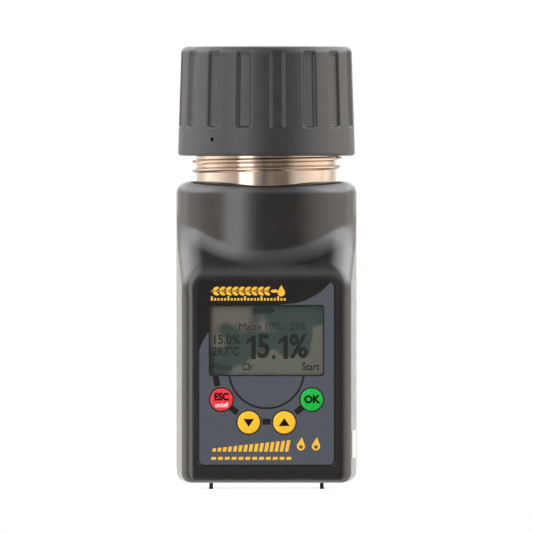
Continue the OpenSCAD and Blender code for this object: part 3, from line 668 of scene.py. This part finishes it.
# ---------------------------------------------------------------- cap
def make_cap():
    """The fluted cap, its grip grooves sunk into a slightly conical wall."""
    grooves, depth, groove_low_z, groove_top_z = 16, 1.3, 164.3, 196.8
    first = math.radians(-82.6)
    low_r, top_r, low_edge_r, top_edge_r = 40.25, 38.7, 1.5, 3.2
    bottom, top = CAP_LOW[2], CAP_HIGH[2]
    roof = top - 4.8
    insert_r, inner_r, well_r, hole_r = 36.5, 35.3, 15.4, 2.8
    wall_z = np.concatenate([np.linspace(bottom + low_edge_r, groove_low_z - 1.0, 12),
                             np.linspace(groove_low_z - 0.8, groove_low_z + 1.0, 13),
                             np.linspace(groove_low_z + 1.6, top - top_edge_r, 34)])
    wall = [(low_r + (top_r - low_r) * (z - bottom) / (top - bottom), z) for z in wall_z]
    outside = arc_points(low_r - low_edge_r, bottom + low_edge_r, low_edge_r, -90, 0, 6)[:-1] + wall
    outside += arc_points(wall[-1][0] - top_edge_r, top - top_edge_r, top_edge_r, 0, 90, 12)[1:]
    flat = [(r, top) for r in (30, 22, 14, 8)]
    hole = [(hole_r + 0.5, top), (hole_r, top - 0.4), (hole_r, roof)]
    well = [(well_r, roof), (well_r, roof - 3.2), (well_r + 1, roof - 3.2), (well_r + 1, roof - 4.2),
            (well_r, roof - 4.2), (well_r, roof - 6), (well_r + 3, roof - 6), (well_r + 3, roof)]
    inside = [(inner_r - 2, roof), (inner_r, roof - 2), (inner_r, INSERT_TOP_Z), (insert_r, INSERT_TOP_Z),
              (insert_r, bottom + 0.3), (insert_r + 0.3, bottom)]
    count = grooves * 48
    angle = np.linspace(0, 2 * math.pi, count, endpoint=False)
    pitch = 2 * math.pi / grooves
    away = np.degrees(np.abs((angle - first + pitch / 2) % pitch - pitch / 2))
    across = smooth_step((5.6 - away) / 2.7)
    rows = []
    for i, (r, z) in enumerate(outside + flat + hole + well + inside):
        along = smooth_step((z - groove_low_z + 0.7) / 1.4) * (1 - smooth_step((z - groove_top_z) / 2.4))
        radius = r - depth * across * along * (i < len(outside))
        rows.append(np.stack([radius * np.cos(angle), radius * np.sin(angle), np.full(count, z)], -1))
    cap = mesh_object("cap_grip", *revolved(rows), CAP, 38)
    turn, screw_z = math.radians(-128), 158.6
    bore = circle(0, 0, 0.95, 32)
    points, faces = loft([(bore, insert_r - 0.8), (bore, low_r + 1.75)], "z")
    spin = np.array([[0, -math.sin(turn), math.cos(turn)], [0, math.cos(turn), math.sin(turn)], [-1, 0, 0]])
    combine(cap, joined_tool([(np.array(points) @ spin.T + [0, 0, screw_z], faces)]))
    shade(cap, 38)
    finish_piece(cap, "cap", "cap_grey", "cap_shell")


make_cap()


# ---------------------------------------------------------------- flat films
FILM = 0.02


def plate(loops, level, name, mat):
    """A film facing -Y, filled between X-Z loops; its front lies at level."""
    curve = bpy.data.curves.new(name, "CURVE")
    curve.dimensions = "2D"
    curve.fill_mode = "BOTH"
    curve.extrude = FILM / 2
    for loop in loops:
        spline = curve.splines.new("POLY")
        spline.points.add(len(loop) - 1)
        for point, (x, z) in zip(spline.points, loop):
            point.co = (x, z, 0, 1)
        spline.use_cyclic_u = True
    return stood_up(curve, level + FILM / 2, name, mat)


def lettering(text, x, z, size, level, name, mat, bolder, narrow=1.0):
    """A film of letters facing -Y, centred on x and z."""
    curve = bpy.data.curves.new(name, "FONT")
    curve.body = text
    curve.align_x, curve.align_y = "CENTER", "CENTER"
    curve.size, curve.offset = size, bolder
    curve.extrude = FILM / 2
    curve.resolution_u = 6
    return stood_up(curve, level + FILM / 2, name, mat, x, z, narrow)


def stood_up(curve, level, name, mat, x=0.0, z=0.0, narrow=1.0):
    """Meshes a flat curve and stands it in the X-Z plane, facing -Y."""
    flat = bpy.data.objects.new("flat", curve)
    bpy.context.scene.collection.objects.link(flat)
    mesh = bpy.data.meshes.new_from_object(flat.evaluated_get(bpy.context.evaluated_depsgraph_get()))
    bpy.data.objects.remove(flat)
    points = np.array([v.co for v in mesh.vertices])
    stood = np.stack([x + points[:, 0] * narrow, level - points[:, 2], z + points[:, 1]], -1)
    faces = [list(p.vertices) for p in mesh.polygons]
    bpy.data.meshes.remove(mesh)
    return mesh_object(name, stood, faces, mat)


# ---------------------------------------------------------------- keys
def make_key(name, mat, slot):
    """A slightly domed round key with a retaining flange and a stem."""
    x, z = key_centre(name)
    front, back = KEYS[name][0][1], KEYS[name][1][1]
    flange_front = PANEL_Y + 0.1
    flange_back = flange_front + 0.3
    edge_r, flange_r = 0.55, 5.8
    profile = [(0, front + 0.03), (3.4, front + 0.04), (4.2, front + 0.09)]
    profile += arc_points(KEY_R - edge_r, front + 0.13 + edge_r, edge_r, -90, 0, 6)
    profile += [(KEY_R, flange_front), (flange_r, flange_front), (flange_r, flange_back),
                (KEY_STEM_R, flange_back), (KEY_STEM_R, back), (0, back)]
    points, faces = lathe(profile)
    placed = np.stack([x + points[:, 0], points[:, 2], z - points[:, 1]], -1)
    key = mesh_object("keycap_" + name, placed, faces, mat, 35)
    finish_piece(key, name + "_button", slot, "key_" + name)


def legend(obj, name):
    finish_piece(obj, name + "_button", "overlay_print")


def print_legends():
    """The arrows and words on the keys, standing just proud of them."""
    level = KEY_FRONT_Y + 0.005
    for name, way in (("down", -1), ("up", 1)):
        x, z = key_centre(name)
        triangle = [(x - way * 2.4, z - way * 1.6), (x + way * 2.4, z - way * 1.6), (x, z + way * 2.0)]
        legend(plate([triangle], level, "arrow_" + name, LEGEND_BLACK), name)
    x, z = key_centre("ok")
    legend(lettering("OK", x, z, 4.6, level, "legend_ok", LEGEND_BLACK, 0.24), "ok")
    x, z = key_centre("esc")
    legend(lettering("ESC", x, z + 1.2, 4.5, level, "legend_esc", LEGEND_BLACK, 0.22, 0.88), "esc")
    legend(lettering("on/off", x, z - 2.5, 2.9, level, "legend_on_off", LEGEND_WHITE, 0.08, 0.85), "esc")


for key_name, key_mat, key_slot in (("esc", KEY_RED, "key_red"), ("down", KEY_YELLOW, "key_yellow"),
                                    ("up", KEY_YELLOW, "key_yellow"), ("ok", KEY_GREEN, "key_green")):
    make_key(key_name, key_mat, key_slot)
print_legends()


# ---------------------------------------------------------------- overlay print
def printed(obj):
    finish_piece(obj, "root", "overlay_print")


def arc_band(cx, cz, r, width, start, end, steps):
    outer = arc_points(cx, cz, r + width / 2, start, end, steps)
    inner = arc_points(cx, cz, r - width / 2, end, start, steps)
    return outer + inner


FRAME_HALF_W, FRAME_LOW_Z, FRAME_HIGH_Z, FRAME_R = 25.6, 51.9, 83.1, 1.1
OVERLAY_CORNER_R = 2.6
RING_Z = 53.8


def print_corner():
    """The dark field over the display and down its left side, bounded by an arc at either end."""
    left, top = OVERLAY_LOW[0], OVERLAY_HIGH[2]
    inset, lap, corner = 0.05, 0.1, OVERLAY_CORNER_R
    swoop_x, swoop_z, swoop_r = 8, 111.1, 27.1
    side_x, side_z, side_r = -8.25, 57, 22.95
    swoop = [p for p in arc_points(swoop_x, swoop_z, swoop_r, -90, -38.2, 20) if p[1] < top - inset]
    reach = math.sqrt(swoop_r ** 2 - (swoop_z - top + inset) ** 2)
    zone = [(2, FRAME_HIGH_Z + lap)] + swoop + [(swoop_x + reach, top - inset)]
    zone += arc_points(left + corner + inset, top - corner - inset, corner, 90, 180, 8)
    start = math.degrees(math.acos((left + inset - side_x) / side_r))
    end = math.degrees(math.acos((-FRAME_HALF_W - lap - side_x) / side_r))
    zone += arc_points(side_x, side_z, side_r, start, end, 14)
    zone += arc_points(-FRAME_HALF_W + FRAME_R - lap, FRAME_HIGH_Z - FRAME_R + lap, FRAME_R, 180, 90, 6)
    printed(plate([zone], PRINT_Y - 0.012, "print_corner", PRINT_AND_SHADE_BLACK))


def print_edges():
    """Lines round the display, and a dark band just inside the overlay's edge that is painted shade of the
    gap round it.
    """
    level = PRINT_Y - 0.016
    around_display = [rounded_box(-FRAME_HALF_W - grow, FRAME_LOW_Z - grow,
                                  FRAME_HALF_W + grow, FRAME_HIGH_Z + grow, r)
                      for grow, r in ((0.55, 1.5), (0.02, FRAME_R))]
    printed(plate(around_display, level, "print_window_edge", PRINT_AND_SHADE_BLACK))
    # The band just inside the overlay's edge is painted shade, standing for the dark gap between overlay and
    # pocket.
    border = [grown_outline(OVERLAY_LOW, OVERLAY_HIGH, grow, r)
              for grow, r in ((-0.02, OVERLAY_CORNER_R), (-0.5, 2.1))]
    printed(plate([border[0], border[1][::-1]], level, "painted_edge_shade", PRINT_AND_SHADE_BLACK))


def print_rings():
    """A thin part ring below the display, a line round each key, and broad arcs before and between them."""
    level = PRINT_Y - 0.014
    inner_r, inner_width = 17, 0.9
    outer_r, outer_width = 23.1, 2.7
    below = math.degrees(math.asin((RING_Z - FRAME_LOW_Z + 0.5) / inner_r))
    inner = arc_band(0, RING_Z, inner_r, inner_width, -180 + below, -below, 48)
    printed(plate([inner], level, "print_inner_ring", PRINT_AND_SHADE_BLACK))
    arcs = ((180 + 6.1, 180 + 17.5), (-134.6, -124.5), (-94.7, -85.3), (-55.5, -45.4))
    for number, (start, end) in enumerate(arcs):
        band = arc_band(0, RING_Z, outer_r, outer_width, start, end, 10)
        printed(plate([band], level, f"print_ring_{number}", PRINT_AND_SHADE_BLACK))
    for name in KEYS:
        x, z = key_centre(name)
        rings = [circle(x, z, KEY_R + 0.55), circle(x, z, KEY_R + 0.12)[::-1]]
        printed(plate(rings, PRINT_Y - 0.015, "print_outline_" + name, PRINT_AND_SHADE_BLACK))


def leaf(x, z, length, width, lean):
    """A grain-shaped outline, pointed at both ends."""
    count = 24
    turn = math.radians(lean)
    points = []
    for i in range(count):
        t = 2 * math.pi * i / count
        u, v = length / 2 * math.cos(t), width / 2 * math.sin(t) * abs(math.sin(t)) ** 0.4
        points.append((x + u * math.cos(turn) - v * math.sin(turn),
                       z + u * math.sin(turn) + v * math.cos(turn)))
    return points


def slanted_bar(x, z, width, height, lean=0.2):
    return [(x, z), (x + width, z), (x + width + lean * height, z + height), (x + lean * height, z + height)]


def droplet(x, z, r, tip_x, tip_z):
    """A round drop drawn out to a tip above it."""
    return arc_points(x, z, r, 150, 390, 20) + [(tip_x, tip_z)]


def print_marks():
    """Generic marks: an ear of grain over a rule with a droplet, and rising bars with two droplets."""
    level = PRINT_Y - 0.032
    left, ear_z, rule_z, bars_z, lower_rule_z = -25.2, 89.9, 85.6, 17.2, 13.5
    ear = [leaf(-22.9 + 2.9 * i, ear_z + side * 1.15, 3.0, 1.45, side * 24)
           for i in range(9) for side in (-1, 1)]
    ear += [leaf(3.6, ear_z, 3.6, 1.5, 0), slanted_bar(left, ear_z - 0.15, 26.5, 0.3, 0)]
    ticks = [slanted_bar(left + 1.5 * i, rule_z, 0.9, 1.1 if i % 5 else 1.9, 0) for i in range(23)]
    upper_drop = droplet(6.7, 89.2, 1.7, 6.7, 92.7)
    for number, shape in enumerate(ear + ticks + [upper_drop]):
        printed(plate([shape], level, f"mark_upper_{number}", PRINT_AMBER))
    bars = [slanted_bar(-24.6 + 2.35 * i, bars_z, 1.55, 1.5 + 0.26 * i) for i in range(15)]
    rule = [slanted_bar(left + 3.1 * i, lower_rule_z, 2.2, 1.3) for i in range(12)]
    for number, shape in enumerate(bars + rule):
        printed(plate([shape], level, f"mark_lower_{number}", PRINT_AMBER))
    for number, x in enumerate((15.6, 22.4)):
        drop, hole = droplet(x, 19.6, 1.9, x + 0.5, 23.7), circle(x, 19.3, 0.85, 24)
        printed(plate([drop, hole], level, f"mark_drop_{number}", PRINT_AMBER))


print_corner()
print_edges()
print_rings()
print_marks()


# ---------------------------------------------------------------- display
LARGE_LOW_Z, LARGE_HIGH_Z = 59.1, 69.7


def segment(obj):
    finish_piece(obj, "root", "display_glass")


def large_one(x):
    """The outline of a large figure one: a stem with a flag."""
    low, high, stem = LARGE_LOW_Z, LARGE_HIGH_Z, 2.1
    return [(x, low), (x + stem, low), (x + stem, high), (x + 0.5, high), (x - 2.2, high - 2.2),
            (x - 2.2, high - 3.9), (x, high - 2.6)]


def print_display():
    """Liquid crystal segments: dark shapes just in front of the glass."""
    level = GLASS_Y - 0.03
    large_z, large_size, small_x, menu_z = (LARGE_LOW_Z + LARGE_HIGH_Z) / 2, 14.6, -18.4, 55.5
    shown = [("Maize 10% - 25%", 2.6, 73.6, 4.7, 0.0, 0.95), ("15.0%", small_x, 67.7, 5.7, 0.07, 0.92),
             ("29.7°C", small_x, 62.4, 5.5, 0.07, 0.78), ("Menu", -20.1, menu_z, 4.7, 0.0, 0.86),
             ("Clr", -8.6, menu_z, 4.7, 0.07, 0.78), ("Start", 20.0, menu_z, 4.7, 0.07, 0.86),
             ("5", -1.3, large_z, large_size, 0.4, 0.84), ("%", 14.5, large_z, large_size, 0.4, 0.84)]
    for number, (text, x, z, size, bolder, narrow) in enumerate(shown):
        segment(lettering(text, x, z, size, level, f"reading_{number}", INK, bolder, narrow))
    point = rounded_box(2.5, LARGE_LOW_Z, 4.1, LARGE_LOW_Z + 1.7, 0.3)
    for number, shape in enumerate([large_one(-6.9), point, large_one(7.6)]):
        segment(plate([shape], level, f"reading_large_{number}", INK))


def print_battery():
    """The charge symbol: an outlined cell with five bars in it."""
    level = GLASS_Y - 0.03
    left, right, low, high, line = -6.0, 2.6, 79.8, 82.4, 0.4
    nub_in, nub_out = 0.5, 1.3
    outline = [(left, low), (right, low), (right, low + nub_in), (right + nub_out, (low + high) / 2),
               (right, high - nub_in), (right, high), (left, high)]
    inner = [(left + line, low + line), (left + line, high - line),
             (right - line, high - line), (right - line, low + line)]
    segment(plate([outline, inner], level, "battery_outline", INK))
    for i in range(5):
        x, bar_w, bar_inset = left + 0.8 + 1.5 * i, 1.1, 0.7
        bar = [(x, low + bar_inset), (x + bar_w, low + bar_inset),
               (x + bar_w, high - bar_inset), (x, high - bar_inset)]
        segment(plate([bar], level, f"battery_bar_{i}", INK))


print_display()
print_battery()


# ---------------------------------------------------------------- kept CAD parts
SLOT_MATERIALS = {
    "black_plastic": BODY, "overlay_print": OVERLAY, "clear_window": WINDOW, "bright_steel": STEEL,
    "display_glass": DISPLAY, "white_plastic": IVORY, "circuit_green": CIRCUIT, "black_parts": BLACK_PARTS,
    "key_red": KEY_RED, "key_yellow": KEY_YELLOW, "key_green": KEY_GREEN, "capacitor_sleeve": CAPACITOR,
    "warm_nickel": NECK, "brass_parts": BRASS, "black_rubber": RUBBER, "grey_cable": GREY_CABLE,
    "red_cable": RED_CABLE, "cell_jacket": CELL, "white_label": PAPER, "cap_grey": CAP,
    "indicator_red": INDICATOR,
}
SOFTENED = {"battery_door": 0.35, "foot_left": 0.25, "foot_right": 0.25, "keypad_overlay": 0.06,
            "cap_thread_insert": 0.12, "pressing_disc": 0.3, "battery_tray": 0.3, "rear_label": 0.05}


def dress_cad():
    """Puts each kept CAD part's slot material on it, and softens the edges that show."""
    for part in frame["record"]["subparts"]:
        mesh = frame["nodes"][part["node"]].data
        mesh.materials.clear()
        mesh.materials.append(SLOT_MATERIALS[part["material_slot"]])
    for name, width in SOFTENED.items():
        obj = frame["nodes"][name]
        weld = obj.modifiers.new("weld", "WELD")
        weld.merge_threshold = 0.002 * MM
        bevel = obj.modifiers.new("bevel", "BEVEL")
        bevel.width = width * MM
        bevel.segments = 2
        bevel.limit_method = "ANGLE"
        bevel.angle_limit = math.radians(35)


dress_cad()


# ---------------------------------------------------------------- studio
def floor_material():
    """Pale and glowing, so that the floor comes out an even white."""
    mat, tree, shader = new_material("floor_white")
    pale, faint = (0.9, 0.9, 0.9), 0.985
    tone = noise(tree, 60, 2)
    tree.links.new(ramp(tree, tone, [(0.3, tuple(c * faint for c in pale)), (0.7, pale)]),
                   shader.inputs["Base Color"])
    shader.inputs["Roughness"].default_value = 0.7
    shader.inputs["Emission Color"].default_value = (1.0, 1.0, 1.0, 1.0)
    shader.inputs["Emission Strength"].default_value = 0.8
    return mat


def sky_ramp(tree, around, cards):
    """A colour ramp round the horizon through cards of (degrees, level, warmth).

    0 degrees is the camera's side.
    """
    stops = [((degrees + 180) / 360, (level, level * (1 - 0.5 * warmth), level * (1 - warmth)))
             for degrees, level, warmth in cards]
    return ramp(tree, around, stops)


def greys(stops):
    """Ramp stops of (position, brightness) as greys."""
    return [(position, (share, share, share)) for position, share in stops]


def mixed(tree, share, first, second, blend):
    """A colour mix: the sockets of a colour Mix node are its factor 0 and its colours 6 and 7."""
    made = node(tree, "ShaderNodeMix", {0: share, 6: first, 7: second}, data_type="RGBA", blend_type=blend)
    return made.outputs[2]


def studio_world():
    """White to the eye; gloss and matt surfaces see tall side lights and a dim room on the camera's side."""
    world = bpy.data.worlds.new("studio")
    world.use_nodes = True
    tree = world.node_tree
    direction = node(tree, "ShaderNodeTexCoord").outputs["Generated"]
    axes = node(tree, "ShaderNodeSeparateXYZ", {"Vector": direction})
    flipped = node(tree, "ShaderNodeMath", {0: axes.outputs["Y"], 1: -1.0}, operation="MULTIPLY").outputs[0]
    turn = node(tree, "ShaderNodeMath", {0: axes.outputs["X"], 1: flipped}, operation="ARCTAN2").outputs[0]
    around = node(tree, "ShaderNodeMapRange",
                  {"Value": turn, "From Min": -math.pi, "From Max": math.pi}).outputs[0]
    low = sky_ramp(tree, around, [
        (-180, 1.6, 0.03), (-150, 0.97, 0.09), (-128, 1.08, 0.12), (-112, 1.66, 0.09), (-96, 1.49, 0.09),
        (-80, 1.19, 0.15), (-67, 0.79, 0.21), (-47, 0.58, 0.24), (-43, 2.1, -0.02), (-25, 2.1, -0.02),
        (-18, 0.55, 0.06), (-4, 0.17, 0.12), (6, 0.29, 0.12), (13, 0.25, 0.24), (33, 0.22, 0.24),
        (50, 0.85, 0.12), (75, 1.3, 0.18), (92, 1.45, 0.18), (104, 1.36, 0.27), (114, 1.57, 0.12),
        (135, 0.86, 0.09), (180, 1.6, 0.03)])
    high = sky_ramp(tree, around, [
        (-180, 2.6, 0), (-150, 2.0, 0), (-130, 2.6, 0), (-72, 3.2, 0), (-52, 1.5, 0), (-43, 2.2, 0),
        (-25, 2.2, 0), (-14, 0.8, 0), (0, 0.62, 0), (38, 0.8, 0), (56, 2.0, 0), (72, 3.8, 0.03),
        (130, 3.2, 0), (150, 2.0, 0), (180, 2.6, 0)])
    rise = node(tree, "ShaderNodeMapRange", {"Value": axes.outputs["Z"], "From Min": -1.0}).outputs[0]
    lifted = ramp(tree, rise, greys([(0.55, 0), (0.64, 1)]))
    fade = ramp(tree, rise, greys([(0.8, 1), (0.92, 0.6), (0.97, 0.42), (0.99, 0.16)]))
    walls = mixed(tree, lifted, low, high, "MIX")
    cove = mixed(tree, 1.0, walls, fade, "MULTIPLY")
    seen = node(tree, "ShaderNodeLightPath").outputs["Is Camera Ray"]
    shown = mixed(tree, seen, cove, (1.0, 1.0, 1.0, 1.0), "MIX")
    tree.links.new(shown, tree.nodes["Background"].inputs["Color"])
    return world


def make_floor():
    """A glowing disc, hidden from glossy and diffuse rays."""
    radius, count = 450, 96
    rim = [(x, y, 0) for x, y in circle(0, 0, radius, count)]
    floor = mesh_object("floor", rim, [list(range(count))], floor_material())
    floor.visible_glossy = False
    floor.visible_diffuse = False


def aimed(name, data, location, aim_z):
    """An object that looks from its location at a height on the Z axis."""
    obj = bpy.data.objects.new(name, data)
    obj.location = location
    obj.rotation_euler = (Vector((0, 0, aim_z)) - obj.location).to_track_quat("-Z", "Y").to_euler()
    bpy.context.scene.collection.objects.link(obj)
    return obj


def make_studio():
    """A pale floor, one soft light and the camera at the photograph's angle; places are in metres."""
    make_floor()
    bpy.context.scene.world = studio_world()
    bpy.context.scene.view_settings.view_transform = "Standard"
    softbox = bpy.data.lights.new("softbox", "AREA")
    softbox.shape, softbox.size, softbox.size_y, softbox.energy = "RECTANGLE", 0.5, 0.35, 1.2
    lamp_place, lamp_aim_z = (-0.15, -0.55, 0.75), 0.1
    lamp = aimed("softbox", softbox, lamp_place, lamp_aim_z)
    lamp.visible_glossy = False
    camera = bpy.data.cameras.new("camera")
    camera.lens, camera.sensor_width, camera.clip_end = 1195, 36, 100
    camera_place, camera_aim_z = (0, -8.05, 0.17), 0.1007
    bpy.context.scene.camera = aimed("camera", camera, camera_place, camera_aim_z)


make_studio()
